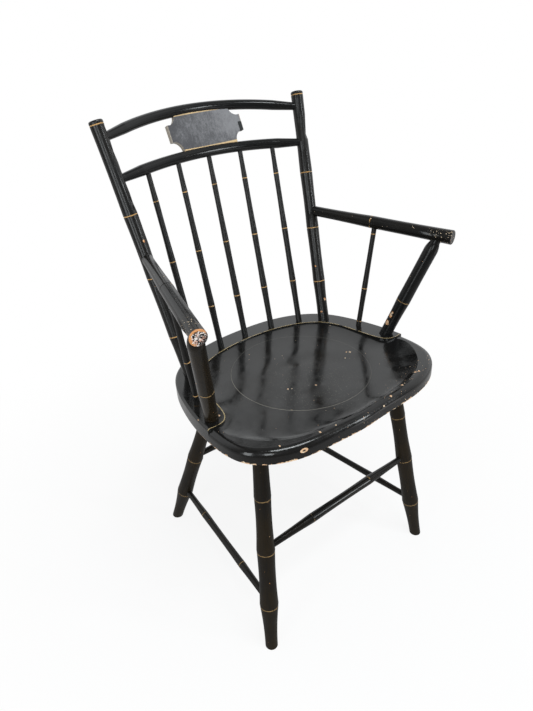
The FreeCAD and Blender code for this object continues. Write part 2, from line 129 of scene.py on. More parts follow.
def scaled(tree, direction, factor):
    """A direction made this many times as long."""
    made = add(tree, "ShaderNodeVectorMath", {0: direction, "Scale": factor}, operation="SCALE")
    return made.outputs["Vector"]


def dot(tree, place, direction):
    """How far a place is along a direction."""
    return number(tree, "DOT_PRODUCT", place, direction)


def distance(tree, place, centre):
    """How far a place is from a centre."""
    return number(tree, "DISTANCE", place, centre)


def mix(tree, share, first, second):
    """Mixes two colours: inputs 6 and 7 of the node are colours, and output 2 is the result."""
    return add(tree, "ShaderNodeMix", {0: share, 6: first, 7: second}, data_type="RGBA").outputs[2]


def start_material(name):
    """An empty material, its tree, and the place on the object in metres."""
    material = bpy.data.materials.new(name)
    material.use_nodes = True
    tree = material.node_tree
    tree.nodes.clear()
    place = add(tree, "ShaderNodeTexCoord").outputs["Object"]
    return material, tree, place


# %% [markdown]
# ## Masks and noise
# A mask is a number that is 1 on a line, a chip or a worn place, and 0 elsewhere. A smooth step
# makes one out of any measure, and the two values that it runs between say how sharp the edge is.
# A name that ends in STEP holds these two. Masks are joined by multiplying them, or by taking the
# largest. Noise is what makes paint look old. Its scale is about the number of waves in a metre, so
# that it can be judged against the real size of a chip or a brush mark. A name that ends in NOISE
# holds those waves, then how many finer layers lie on them, then how strong each layer is.

# %% Masks and noise


def ramp(tree, value, low, high, to_low=0.0, to_high=1.0):
    """A smooth step from low to high, which falls instead where low is the larger one."""
    made = add(tree, "ShaderNodeMapRange", {"Value": value, "From Min": low, "From Max": high,
                                            "To Min": to_low, "To Max": to_high},
               interpolation_type="SMOOTHSTEP")
    return made.outputs["Result"]


def joined(tree, operation, masks):
    """Every mask joined to the one before it."""
    total = masks[0]
    for mask in masks[1:]:
        total = sums(tree, operation, total, mask)
    return total


def all_of(tree, *masks):
    """1 only where every mask is 1."""
    return joined(tree, "MULTIPLY", masks)


def any_of(tree, *masks):
    """1 where any of the masks is 1."""
    return joined(tree, "MAXIMUM", masks)


def noise(tree, place, waves, detail=2.0, roughness=0.5):
    """Soft noise from 0 to 1, with about this many waves in a metre."""
    made = add(tree, "ShaderNodeTexNoise", {"Vector": place, "Scale": waves, "Detail": detail,
                                            "Roughness": roughness})
    return made.outputs["Fac"]


def swing(tree, place, waves, detail=2.0, roughness=0.5):
    """Noise that swings evenly to both sides of 0."""
    return sums(tree, "SUBTRACT", noise(tree, place, waves, detail, roughness), 0.5)


# %% [markdown]
# ## The axis of a turning
# Every turned piece leans its own way, so its rings can't be painted by height above the floor.
# The two ends of a turning are flat discs. The middle of each disc lies on the axis, and the
# distance along that axis says where a ring is. A first guess of the axis comes from the spread of
# the points, and each pass takes a thinner slice at both ends. A leg's foot is sawn level, so the
# middle of its sole is used instead.

# %% Axis of a turning
END_SLICES = (3.0 * MM, 1.0 * MM, 0.3 * MM)
SOLE_LEVEL = 0.1 * MM


def middle(points):
    """Middle of the box round some points."""
    return (points.min(axis=0) + points.max(axis=0)) / 2


def points_of(name):
    """All different points of a piece of the frame."""
    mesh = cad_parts[name].data
    points = np.empty(len(mesh.vertices) * 3)
    mesh.vertices.foreach_get("co", points)
    return np.unique(np.round(points.reshape(-1, 3), 6), axis=0)


def turning_axis(name):
    """Middles of the two end discs of a turned piece: the lower one first, or else the left one."""
    points = points_of(name)
    axis = np.linalg.svd(points - points.mean(axis=0), full_matrices=False)[2][0]
    sole = points[points[:, 2] < SOLE_LEVEL]
    for slice_depth in END_SLICES:
        along = points @ axis
        ends = [middle(points[along < along.min() + slice_depth]),
                middle(points[along > along.max() - slice_depth])]
        ends.sort(key=lambda end: (round(end[2], 2), end[0]))
        if len(sole):
            ends[0] = middle(sole)
        axis = (ends[1] - ends[0]) / np.linalg.norm(ends[1] - ends[0])
    return Vector(ends[0]), Vector(ends[1])


def along_from(tree, place, start, direction):
    """How far along a direction a place is, counted from a start."""
    return sums(tree, "SUBTRACT", dot(tree, place, direction), start.dot(direction))


foot, top = turning_axis("front_left_leg")
print("a front leg along its axis, in metres:", round((top - foot).length, 4))

# %% [markdown]
# ## Black paint
# Old black paint on turned wood is never one flat colour. It is thin, and a little brown where the
# wood glows through. The brush went along each piece, so its marks are noise that is drawn out
# along the piece: the place is pressed together in that direction before the noise reads it. A
# soft cloud and the fine brush marks are added up, and their sum picks a colour between two blacks.

# %% Black paint
BLACK = (0.0055, 0.0062, 0.0070, 1)
BROWN_BLACK = (0.0155, 0.0105, 0.0050, 1)
STREAK_PRESS = 0.93
CLOUD_NOISE = (14.0, 4.0)
BRUSH_NOISE = (420.0, 3.0)
CLOUD_SHARE = 0.6
TONE_STEP = (0.38, 0.62)
LEAST_BROWN = 0.4


def brushed(tree, place, direction):
    """The place with its distance along the piece pressed together, for streaks along it."""
    pressed = sums(tree, "MULTIPLY", dot(tree, place, direction), STREAK_PRESS)
    return vectors(tree, "SUBTRACT", place, scaled(tree, direction, pressed))


def black_paint(tree, place, streaks, brown):
    """Colour of the paint: cloudy, with brush streaks, and brown by this share."""
    cloud = sums(tree, "MULTIPLY", noise(tree, place, *CLOUD_NOISE), CLOUD_SHARE)
    both = plus(tree, cloud, noise(tree, streaks, *BRUSH_NOISE), 1 - CLOUD_SHARE)
    tone = plus(tree, LEAST_BROWN, ramp(tree, both, *TONE_STEP), 1 - LEAST_BROWN)
    return mix(tree, sums(tree, "MULTIPLY", tone, brown), BLACK, BROWN_BLACK)


# %% [markdown]
# ## Chips
# A chip shows bare wood. It is orange where it is fresh, and cream where dirt and light have aged
# it. The smallest chips are scattered by chance, so they are the peaks of a noise. A name that ends
# in CHIPS or SPECKS holds the waves of that noise and how high a peak has to be. The larger chips
# are marks of this one chair, so each has its own centre and radius, and a noise makes its edge
# ragged.

# %% Chips
BARE_WOOD = (0.56, 0.25, 0.09, 1)
CREAM = (0.68, 0.54, 0.38, 1)
AGE_WAVES = 230.0
AGE_STEP = (0.47, 0.62)
SPECK_LAYERS = 1.0
SPECK_EDGE = 0.015
RAGGED_NOISE = (430.0, 3.0, 0.6)
RAGGED_SHARE = 2.4
SPOT_CORE = 0.75


def worn_wood(tree, place):
    """Colour of a chip: orange wood, cream where it is old."""
    return mix(tree, ramp(tree, noise(tree, place, AGE_WAVES), *AGE_STEP), BARE_WOOD, CREAM)


def specks(tree, place, waves, rarity):
    """Tiny scattered specks. The higher the rarity, the fewer there are."""
    return ramp(tree, noise(tree, place, waves, SPECK_LAYERS), rarity, rarity + SPECK_EDGE)


def spots(tree, place, marks):
    """Ragged marks, each given by its centre and its radius in millimetres."""
    wobble = swing(tree, place, *RAGGED_NOISE)
    masks = []
    for x, y, z, radius in marks:
        reach = radius * MM
        away = distance(tree, place, Vector((x, y, z)) * MM)
        ragged = plus(tree, away, wobble, RAGGED_SHARE * reach)
        masks.append(ramp(tree, ragged, reach, reach * SPOT_CORE))
    return any_of(tree, *masks)


# %% [markdown]
# ## Gloss
# It is the reflections that make black paint look black. Hands have rubbed it in soft patches, so
# the roughness changes between two values. Thin bright lines also give away the flat facets of a
# mesh. A turning is truly round, so its finish works out the normal again: straight away from the
# axis, and tipped along it as the mesh is. Brush marks and chips are a slight bump on top.

# %% Gloss
POLISH_NOISE = (45.0, 3.0)
POLISH_STEP = (0.3, 0.7)
BUMP_STRENGTH = 0.6
BUMP_HEIGHT = 0.1 * MM
PAINT_IOR = 1.45


def polish(tree, place, smooth, rough):
    """Roughness of rubbed paint, in soft patches between two values."""
    return ramp(tree, noise(tree, place, *POLISH_NOISE), *POLISH_STEP, smooth, rough)


def round_normal(tree, place, start, direction):
    """The normal of a truly round turning, which points straight away from the axis."""
    reach = vectors(tree, "SUBTRACT", place, start)
    away = vectors(tree, "SUBTRACT", reach, vectors(tree, "PROJECT", reach, direction))
    away = vectors(tree, "NORMALIZE", away)
    slope = dot(tree, add(tree, "ShaderNodeNewGeometry").outputs["Normal"], direction)
    level = sums(tree, "SQRT", sums(tree, "SUBTRACT", 1.0, sums(tree, "MULTIPLY", slope, slope)))
    return vectors(tree, "ADD", scaled(tree, away, level), scaled(tree, direction, slope))


def close_shader(tree, colour, roughness, relief, ior=PAINT_IOR, normal=None):
    """Ends a finish. A relief of 1 stands for the full height of the bump."""
    bump = add(tree, "ShaderNodeBump", {"Height": relief, "Strength": BUMP_STRENGTH,
                                        "Distance": BUMP_HEIGHT})
    if normal:
        tree.links.new(normal, bump.inputs["Normal"])
    shader = add(tree, "ShaderNodeBsdfPrincipled", {"Base Color": colour, "Roughness": roughness,
                                                    "IOR": ior, "Normal": bump.outputs[0]})
    add(tree, "ShaderNodeOutputMaterial", {"Surface": shader.outputs[0]})


def dress(name, material):
    """Gives a piece of the frame its finish."""
    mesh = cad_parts[name].data
    mesh.materials.clear()
    mesh.materials.append(material)


# %% [markdown]
# ## Rings of the turnings
# A turner scores each bamboo ring while the piece spins, and a thin ochre line is painted into the
# score. All pieces of a kind have their rings at the same distances, counted from the end of the
# piece that was found above. The line shakes a little, as a hand does, and a noise rubs it away in
# places. The more wear it is given, the less of it is left.

# %% Painted rings
OCHRE = (0.50, 0.30, 0.115, 1)
DULL_OCHRE = (0.25, 0.16, 0.068, 1)
RING_HALF_WIDTH = 0.95 * MM
RING_CORE = 0.55
SHAKE_WAVES = 110.0
SHAKE = 1.6 * MM
RUB_NOISE = (150.0, 3.0)
RUB_EDGE = 0.06


def ring_mask(tree, place, along, heights, wear):
    """1 on the painted lines round a turning."""
    shaken = plus(tree, along, swing(tree, place, SHAKE_WAVES), SHAKE)
    bands = []
    for height in heights:
        off = sums(tree, "ABSOLUTE", sums(tree, "SUBTRACT", shaken, height))
        bands.append(ramp(tree, off, RING_HALF_WIDTH, RING_HALF_WIDTH * RING_CORE))
    left = ramp(tree, noise(tree, place, *RUB_NOISE), wear - RUB_EDGE, wear + RUB_EDGE)
    return all_of(tree, any_of(tree, *bands), left)


# %% [markdown]
# ## The finish of a turning
# Legs, stretchers, posts, spindles and supports are painted alike, so one function paints them all.
# It lays on the paint, the rings and the chips in the order in which they came about. Pieces differ
# in how rough, brown and worn they are, and in their index of refraction: where it is lower, the
# paint mirrors less and looks tired. The roughness swings round the value that a piece is given.

# %% Finish of a turning
BROWN = 0.3
WEAR = 0.36
GRAIN_WAVES = 240.0
GRAIN_RELIEF = 0.3
TURNING_CHIPS = (260.0, 0.80)
CHIP_ROUGHNESS = 0.4
SMOOTHER = 0.04
ROUGHER = 0.08


def paint_turning(name, rough, near, far=(), brown=BROWN, wear=WEAR, marks=(), ior=PAINT_IOR, line=OCHRE):
    """Paints a turning whose rings are given in millimetres from its near and its far end."""
    start, end = turning_axis(name)
    length = (end - start).length
    direction = (end - start).normalized()
    material, tree, place = start_material(name)
    streaks = brushed(tree, place, direction)
    colour = black_paint(tree, place, streaks, brown)
    rings = [inset * MM for inset in near] + [length - inset * MM for inset in far]
    along = along_from(tree, place, start, direction)
    colour = mix(tree, ring_mask(tree, place, along, rings, wear), colour, line)
    chips = specks(tree, place, *TURNING_CHIPS)
    if marks:
        chips = any_of(tree, chips, spots(tree, place, marks))
    colour = mix(tree, chips, colour, worn_wood(tree, place))
    roughness = plus(tree, polish(tree, place, rough - SMOOTHER, rough + ROUGHER), chips, CHIP_ROUGHNESS)
    grain = sums(tree, "MULTIPLY", noise(tree, streaks, GRAIN_WAVES), GRAIN_RELIEF)
    relief = sums(tree, "SUBTRACT", grain, chips)
    close_shader(tree, colour, roughness, relief, ior, round_normal(tree, place, start, direction))
    dress(name, material)


# %% [markdown]
# ## Legs and stretchers
# The legs and stretchers are scuffed by feet, so their paint is browner and duller. Their lines are a
# darker ochre, partly aged paint and partly painted shade from under the seat. The legs share one set
# of rings, counted from the foot. A stretcher has the same ring at both ends, so one distance is
# given twice, and its tip inside the leg is added to it. The front stretcher has kept more gloss and
# lost more of its lines.

# %% Legs and stretchers
LEG_RINGS = [88.0, 200.0, 303.0]
# The darker line of the legs and stretchers is partly painted shade from under the seat.
LEG_PAINT = dict(brown=1.0, rough=0.42, ior=1.25, line=DULL_OCHRE)
STRETCHER_TIP = 6.0
STRETCHER_RINGS_IN = {"front": 103.0, "rear": 80.0, "left_side": 91.0, "right_side": 91.0}
STRETCHER_PAINT = dict(brown=0.6, rough=0.32, ior=1.35, line=DULL_OCHRE)
FRONT_STRETCHER_PAINT = dict(brown=0.4, rough=0.15, wear=0.5, ior=1.36, line=DULL_OCHRE)

for row in ("front", "rear"):
    for side in ("left", "right"):
        paint_turning(row + "_" + side + "_leg", near=LEG_RINGS, **LEG_PAINT)

for where, ring_in in STRETCHER_RINGS_IN.items():
    rings = [STRETCHER_TIP + ring_in]
    paint = FRONT_STRETCHER_PAINT if where == "front" else STRETCHER_PAINT
    paint_turning(where + "_stretcher", near=rings, far=rings, **paint)
print("painted 4 legs and", len(STRETCHER_RINGS_IN), "stretchers")

# %% [markdown]
# ## Posts and spindles
# The back keeps the brightest lines, because nothing rubs them. The pieces stand in the deck on a
# tenon that can't be seen, so the tenon's length is added to each ring's height above the deck. The
# top ring of a post is counted down from its rounded tip. A post also has a few larger chips, which
# are given as places on the chair in millimetres, each with a radius.

# %% Posts and spindles
POST_TENON = 26.0
POST_RINGS = [79.0, 182.0, 284.0]
POST_CAP_RING_DROP = 6.0
POST_ROUGH = 0.27
POST_MARKS = {"left": [(-177.8, 113.5, 659.4, 2.2), (-172.0, 128.0, 700.0, 1.4)],
              "right": [(161.0, 54.9, 468.8, 2.6), (149.8, 52.4, 446.7, 2.0),
                        (157.4, 79.2, 531.9, 1.8), (163.5, 104.0, 635.0, 3.5)]}
SPINDLE_COUNT = 5
SPINDLE_TENON = 20.0
SPINDLE_RINGS = [83.5, 185.5, 286.5]
SPINDLE_ROUGH = 0.38

for side, marks in POST_MARKS.items():
    paint_turning(side + "_back_post", POST_ROUGH, near=[POST_TENON + height for height in POST_RINGS],
                  far=[POST_CAP_RING_DROP], marks=marks)

for place_in_row in range(1, SPINDLE_COUNT + 1):
    paint_turning("back_spindle_" + str(place_in_row), SPINDLE_ROUGH,
                  near=[SPINDLE_TENON + height for height in SPINDLE_RINGS])
print("painted", len(POST_MARKS), "posts and", SPINDLE_COUNT, "spindles")

# %% [markdown]
# ## Under the arms
# Each arm stands on a stout support in front and a thin spindle behind. The line of a support has
# darkened, and the faint ring at its foot has lost its paint, so only the upper ring gets a line.
# The left support is painted browner than the right one, and the right one has lost three large chips.

# %% Arm supports and arm spindles
SUPPORT_TENON = 22.0
SUPPORT_RING = 75.0
SUPPORT_BROWN = {"left": 1.0, "right": 0.2}
SUPPORT_PAINT = dict(rough=0.22, wear=0.40, ior=1.34, line=DULL_OCHRE)
SUPPORT_MARKS = {"left": [(-196.0, -96.0, 520.0, 1.5)],
                 "right": [(197.3, -81.0, 473.0, 5.0), (193.8, -77.1, 458.5, 5.0),
                           (198.6, -83.4, 479.0, 2.6)]}
ARM_SPINDLE_TENON = 18.0
ARM_SPINDLE_RINGS = [9.8, 77.0]
ARM_SPINDLE_TIP = 5.0
ARM_SPINDLE_TOP_RING = 20.0
ARM_SPINDLE_ROUGH = 0.36

for side, marks in SUPPORT_MARKS.items():
    paint_turning(side + "_arm_support", near=[SUPPORT_TENON + SUPPORT_RING],
                  brown=SUPPORT_BROWN[side], marks=marks, **SUPPORT_PAINT)
    paint_turning(side + "_arm_spindle", ARM_SPINDLE_ROUGH,
                  near=[ARM_SPINDLE_TENON + height for height in ARM_SPINDLE_RINGS],
                  far=[ARM_SPINDLE_TIP + ARM_SPINDLE_TOP_RING])
print("painted", len(SUPPORT_MARKS), "arm supports and as many arm spindles")

# %% [markdown]
# ## The worn end of an arm
# A sitter's hands wear the front end of an arm through to the wood. Its flat face is a mottle of
# black, pink and dirty white, darker towards the side that was spared. On the rubbed side the rim
# is bare orange wood. The rim is found by its distance from the arm's axis, and the side by how
# far a place lies along the rubbed direction, less the part of it that runs along the arm.

# %% Worn end of an arm
FACE_PINK = (0.48, 0.27, 0.20, 1)
FACE_WHITE = (0.66, 0.60, 0.56, 1)
PINK_STEP = (0.52, 0.55)
FLAKE_WAVES = 420.0
FLAKE_STEP = (0.54, 0.58)
RUBBED_SIDE = Vector((-0.75, 0.0, 0.66))
SPARED_STEP = (-4 * MM, -9 * MM)
SPARED_DARKNESS = 0.85
ARM_END_RADIUS = 12.2 * MM
RIM_STEP = (ARM_END_RADIUS - 3.2 * MM, ARM_END_RADIUS - 2.4 * MM)
RIM_RAGGED = 6 * MM
RIM_SIDE_STEP = (-6 * MM, 0.0)


def worn_face(tree, place, along, rear, direction, mottle):
    """Colour of the flat front end of an arm."""
    colour = mix(tree, ramp(tree, mottle, *PINK_STEP), BLACK, FACE_PINK)
    flakes = ramp(tree, noise(tree, place, FLAKE_WAVES), *FLAKE_STEP)
    colour = mix(tree, flakes, colour, FACE_WHITE)
    reach = vectors(tree, "SUBTRACT", place, rear)
    forward = sums(tree, "MULTIPLY", along, direction.dot(RUBBED_SIDE))
    sideways = sums(tree, "SUBTRACT", dot(tree, reach, RUBBED_SIDE), forward)
    spared = ramp(tree, sideways, *SPARED_STEP, 0.0, SPARED_DARKNESS)
    colour = mix(tree, spared, colour, BLACK)
    off_axis = number(tree, "LENGTH", vectors(tree, "CROSS_PRODUCT", reach, direction))
    ragged = plus(tree, off_axis, sums(tree, "SUBTRACT", mottle, 0.5), RIM_RAGGED)
    rim = all_of(tree, ramp(tree, ragged, *RIM_STEP), ramp(tree, sideways, *RIM_SIDE_STEP))
    return mix(tree, rim, colour, BARE_WOOD)


# %% [markdown]
# ## The arms
# The rest of an arm is painted like a turning, but its ring is nearly rubbed away, and cream specks
# crowd towards the front end. An arm is counted from its rear tip forwards. A noise keeps some
# paint on the front face, and its threshold falls as the wear goes up: the left arm is bare there,
# and the right one is nearly whole.

# %% Arms
ARM_TIP = 6.0
ARM_RING = 129.0
ARM_CHIPS = (240.0, 0.775)
END_CHIPS = (430.0, 0.69)
END_CHIPS_FROM = 50 * MM
END_CHIPS_FULL = 15 * MM
FACE_FROM = 1.3 * MM
FACE_FULL = 0.7 * MM
MOTTLE_NOISE = (330.0, 3.0, 0.6)
FACE_NOISE = (200.0, 3.0)
FACE_WHOLE = 0.66
FACE_WEAR = 0.55
FACE_EDGE = 0.04
ARM_POLISH = (0.15, 0.25)
ARM_CHIP_ROUGHNESS = 0.35
ARM_GRAIN_RELIEF = 0.35
ARM_IOR = 1.4


def paint_arm(name, ring_wear, face_wear):
    """Paints an arm from its tenon forwards, and wears its front end by this share."""
    front, rear = sorted(turning_axis(name), key=lambda end: end.y)
    length = (front - rear).length
    direction = (front - rear).normalized()
    material, tree, place = start_material(name)
    along = along_from(tree, place, rear, direction)
    streaks = brushed(tree, place, direction)
    band = ring_mask(tree, place, along, [(ARM_TIP + ARM_RING) * MM], ring_wear)
    colour = mix(tree, band, black_paint(tree, place, streaks, BROWN), OCHRE)
    near_end = ramp(tree, along, length - END_CHIPS_FROM, length - END_CHIPS_FULL)
    crowded = all_of(tree, near_end, specks(tree, place, *END_CHIPS))
    chips = any_of(tree, specks(tree, place, *ARM_CHIPS), crowded)
    colour = mix(tree, chips, colour, CREAM)
    mottle = noise(tree, place, *MOTTLE_NOISE)
    at_end = ramp(tree, along, length - FACE_FROM, length - FACE_FULL)
    bare_from = FACE_WHOLE - face_wear * FACE_WEAR
    bare = ramp(tree, noise(tree, place, *FACE_NOISE), bare_from, bare_from + FACE_EDGE)
    face = all_of(tree, at_end, bare)
    colour = mix(tree, face, colour, worn_face(tree, place, along, rear, direction, mottle))
    roughness = plus(tree, polish(tree, place, *ARM_POLISH), any_of(tree, chips, face), ARM_CHIP_ROUGHNESS)
    grain = sums(tree, "MULTIPLY", noise(tree, streaks, GRAIN_WAVES), ARM_GRAIN_RELIEF)
    relief = sums(tree, "SUBTRACT", grain, sums(tree, "MULTIPLY", face, mottle))
    close_shader(tree, colour, roughness, relief, ARM_IOR, round_normal(tree, place, rear, direction))
    dress(name, material)
    return round(length, 4)


print("left arm, length in metres:", paint_arm("left_arm", ring_wear=0.62, face_wear=1.0))
print("right arm, length in metres:", paint_arm("right_arm", ring_wear=0.48, face_wear=0.05))

# %% [markdown]
# ## The bent rails
# The two rails are bent sticks with no rings, and they have kept the best gloss of the back. They
# curve, so they have no one axis. Their brush marks simply follow the width of the chair.

# %% Rails
ACROSS = Vector((1, 0, 0))
RAIL_BROWN = 0.15
RAIL_CHIPS = (230.0, 0.80)
RAIL_POLISH = (0.11, 0.19)
RAIL_GRAIN_WAVES = 300.0
RAIL_GRAIN_RELIEF = 0.08
RAIL_IOR = 1.4


def paint_rail(name):
    """Paints one of the two bent rails."""
    material, tree, place = start_material(name)
    streaks = brushed(tree, place, ACROSS)
    paint = black_paint(tree, place, streaks, RAIL_BROWN)
    colour = mix(tree, specks(tree, place, *RAIL_CHIPS), paint, worn_wood(tree, place))
    grain = sums(tree, "MULTIPLY", noise(tree, streaks, RAIL_GRAIN_WAVES), RAIL_GRAIN_RELIEF)
    close_shader(tree, colour, polish(tree, place, *RAIL_POLISH), grain, RAIL_IOR)
    dress(name, material)


RAILS = ("crest_rail", "lower_back_rail")
for rail in RAILS:
    paint_rail(rail)
print("painted", len(RAILS), "rails")

# %% [markdown]
# ## Where the tablet faces
# The small board between the rails leans back with them, so the directions up its face and out of
# it are measured first. A board is widest across, less high, and thin, and the spread of its points
# gives those three directions in that order. Its tongues in the rails don't count as face.

# %% Directions of the tablet
TONGUE = 3.5 * MM


def tablet_frame():
    """Middle of the tablet, directions up its face and out of it, and half its width and height."""
    points = points_of("back_tablet")
    spread = np.linalg.svd(points - points.mean(axis=0), full_matrices=False)[2]
    up, out = Vector(spread[1]), Vector(spread[2])
    up = up if up.z > 0 else -up
    half_width = np.ptp(points[:, 0]) / 2
    half_height = np.ptp(points @ np.array(up)) / 2 - TONGUE
    return Vector(middle(points)), up, out, half_width, half_height


print("tablet, half width and half height in metres:", [round(float(v), 4) for v in tablet_frame()[3:]])

# %% [markdown]
# ## The tablet
# The tablet has lost its gloss. Its face is a dull grey black with streaks that run up and down,
# and its grey is partly a painted sheen of the bright room, which is paler towards its right end.
# An ochre line runs along the top and the bottom, and the top one dips a little towards both ends.
# The sawn edges are rubbed pale, and are found by the normal, which turns away from the face there.
# The lower part of the right end has broken away, and is painted as a dark patch.

# %% Face of the tablet
# The face's grey is worn paint with a painted sheen on it, and its paler right end is painted sheen.
TABLET_WORN_SHEEN_GREY = (0.185, 0.185, 0.195, 1)
TABLET_DARK = (0.060, 0.060, 0.066, 1)
TABLET_LINE = (0.56, 0.40, 0.21, 1)
TABLET_CLOUD_SHARE = 0.5
TABLET_TONE_STEP = (0.34, 0.72)
TABLET_MOTTLE_NOISE = (520.0, 3.0, 0.7)
TABLET_MOTTLE_SHARE = 0.45
SHEEN_PALER_PER_METRE = 1.9
LINE_WIDTH = 0.85 * MM
LINE_CORE = 0.6
LINE_BEND = 0.5
LINE_WEAR_NOISE = (120.0, 3.0)
LINE_WEAR_STEP = (0.30, 0.40)


def tablet_face_with_sheen(tree, place, across, cloud, streak):
    """Colour of the dull face: cloud, streaks and a fine mottle, with a painted sheen that is paler to the
    right.
    """
    tone = plus(tree, sums(tree, "MULTIPLY", cloud, TABLET_CLOUD_SHARE), streak, 1 - TABLET_CLOUD_SHARE)
    tone = plus(tree, tone, swing(tree, place, *TABLET_MOTTLE_NOISE), TABLET_MOTTLE_SHARE)
    tone = plus(tree, tone, across, SHEEN_PALER_PER_METRE)
    return mix(tree, ramp(tree, tone, *TABLET_TONE_STEP), TABLET_DARK, TABLET_WORN_SHEEN_GREY)


def tablet_line(tree, place, across, height, half_height):
    """1 on the painted lines along the top and the bottom of the face."""
    sag = sums(tree, "MULTIPLY", sums(tree, "MULTIPLY", across, across), LINE_BEND)
    from_top = sums(tree, "SUBTRACT", half_height, sums(tree, "ADD", height, sag))
    from_foot = sums(tree, "ADD", half_height, height)
    line = ramp(tree, sums(tree, "MINIMUM", from_top, from_foot), LINE_WIDTH, LINE_WIDTH * LINE_CORE)
    return all_of(tree, line, ramp(tree, noise(tree, place, *LINE_WEAR_NOISE), *LINE_WEAR_STEP))


# %% Edges of the tablet
TABLET_EDGE = (0.34, 0.30, 0.25, 1)
FACING_STEP = (0.8, 0.6)
END_WEAR_NOISE = (300.0, 3.0)
END_WEAR_RAGGED = 1.5 * MM
END_WEAR_DEPTH = 0.6 * MM
BREAK_FROM = 7.5 * MM
BREAK_FULL = 7.0 * MM
BREAK_TOP_STEP = (1.5 * MM, 0.5 * MM)


def tablet_edge(tree, place, across, out, half_width):
    """1 on the sawn edges and on the rubbed ends of the face."""
    normal = add(tree, "ShaderNodeNewGeometry").outputs["Normal"]
    facing = sums(tree, "ABSOLUTE", dot(tree, normal, out))
    wobble = noise(tree, place, *END_WEAR_NOISE)
    ragged = plus(tree, sums(tree, "ABSOLUTE", across), wobble, END_WEAR_RAGGED)
    end_wear = ramp(tree, ragged, half_width - END_WEAR_DEPTH, half_width)
    return any_of(tree, ramp(tree, facing, *FACING_STEP), end_wear)


def tablet_break(tree, across, height, half_width):
    """1 on the broken lower part of the right end."""
    at_end = ramp(tree, across, half_width - BREAK_FROM, half_width - BREAK_FULL)
    return all_of(tree, at_end, ramp(tree, height, *BREAK_TOP_STEP))


# %% Tablet
TABLET_CLOUD_NOISE = (32.0, 4.0)
TABLET_STREAK_NOISE = (260.0, 6.0, 0.7)
TABLET_STREAK = 0.8
TABLET_ROUGHNESS = (0.42, 0.56)
BREAK_DEPTH = 3.0


def paint_tablet():
    """Paints the board: face with its painted sheen, lines, pale edges, and the break."""
    centre, up, out, half_width, half_height = tablet_frame()
    material, tree, place = start_material("back_tablet")
    height = along_from(tree, place, centre, up)
    across = along_from(tree, place, centre, ACROSS)
    cloud = noise(tree, place, *TABLET_CLOUD_NOISE)
    streak = noise(tree, brushed(tree, place, up * TABLET_STREAK), *TABLET_STREAK_NOISE)
    colour = tablet_face_with_sheen(tree, place, across, cloud, streak)
    colour = mix(tree, tablet_line(tree, place, across, height, half_height), colour, TABLET_LINE)
    colour = mix(tree, tablet_edge(tree, place, across, out, half_width), colour, TABLET_EDGE)
    broken = tablet_break(tree, across, height, half_width)
    colour = mix(tree, broken, colour, BLACK)
    relief = sums(tree, "SUBTRACT", streak, sums(tree, "MULTIPLY", broken, BREAK_DEPTH))
    close_shader(tree, colour, ramp(tree, cloud, *POLISH_STEP, *TABLET_ROUGHNESS), relief)
    dress("back_tablet", material)


paint_tablet()
print("painted the tablet")

# %% [markdown]
# ## Chips of the seat
# The rolled front edge has lost paint all along its lower corner. That corner lies at one depth
# under the deck, and the deck falls towards the back, so depths are counted from a tilted plane. A
# noise pushes the bare band up and down until it breaks into patches. Specks crowd on the roll,
# where a sitter's legs rub it, and the larger chips are placed one by one. The oval dent is drawn
# as a round ring, after the place has been pressed together sideways.

# %% Chips of the seat
DECK_HEIGHT = 428.3 * MM
SEAT_FALL = 0.043
DECK_UP = Vector((0, SEAT_FALL, 1))
FORWARD = Vector((0, -1, 0))
LOWER_CORNER = 26.0 * MM
CORNER_NOISE = (120.0, 4.0, 0.6)
CORNER_SWING = 14 * MM
CORNER_STEP = (1.1 * MM, 0.5 * MM)
CORNER_FORWARD_STEP = (20 * MM, 160 * MM)
ROLL_SIDE = Vector((0.25, -1, 0))
ROLL_STEP = (195 * MM, 225 * MM)
ROLL_CHIPS = (330.0, 0.735)
SEAT_CHIPS = (300.0, 0.80)
SEAT_MARKS = [(-49.6, -78.3, 420.1, 1.6), (-44.0, -82.0, 420.0, 1.2), (-7.6, -101.4, 421.1, 1.9),
              (111.6, -64.5, 421.0, 2.2), (107.0, -60.0, 421.0, 2.0), (90.7, -72.4, 420.4, 1.2),
              (-99.3, -208.1, 434.8, 2.0), (-70.4, -211.8, 435.0, 1.6), (24.3, -222.0, 429.3, 1.8),
              (47.3, -215.8, 434.2, 2.0), (83.3, -207.8, 434.8, 2.2), (129.9, -196.7, 434.4, 2.2),
              (137.2, -199.2, 434.5, 2.0), (-162.8, -193.1, 434.1, 1.6), (-186.2, -74.8, 431.5, 2.6),
              (-189.0, -71.0, 431.5, 2.0), (-216.8, -60.7, 431.0, 2.4)]
SCAR_CENTRE = Vector((-135.7, -214.4, 424.4)) * MM
SCAR_PRESS = Vector((0.55, 1, 1))
SCAR_OUTSIDE = (4.1 * MM, 3.5 * MM)
SCAR_INSIDE = (1.2 * MM, 1.8 * MM)


def seat_chips(tree, place):
    """Every chip of the seat: the lower corner, the crowded front roll, and the given marks."""
    below = sums(tree, "SUBTRACT", DECK_HEIGHT, dot(tree, place, DECK_UP))
    corner = sums(tree, "ABSOLUTE", sums(tree, "SUBTRACT", below, LOWER_CORNER))
    pushed = sums(tree, "MULTIPLY", swing(tree, place, *CORNER_NOISE), CORNER_SWING)
    lower = all_of(tree, ramp(tree, sums(tree, "SUBTRACT", corner, pushed), *CORNER_STEP),
                   ramp(tree, dot(tree, place, FORWARD), *CORNER_FORWARD_STEP))
    roll = all_of(tree, ramp(tree, dot(tree, place, ROLL_SIDE), *ROLL_STEP),
                  specks(tree, place, *ROLL_CHIPS))
    return any_of(tree, lower, roll, spots(tree, place, SEAT_MARKS), specks(tree, place, *SEAT_CHIPS))


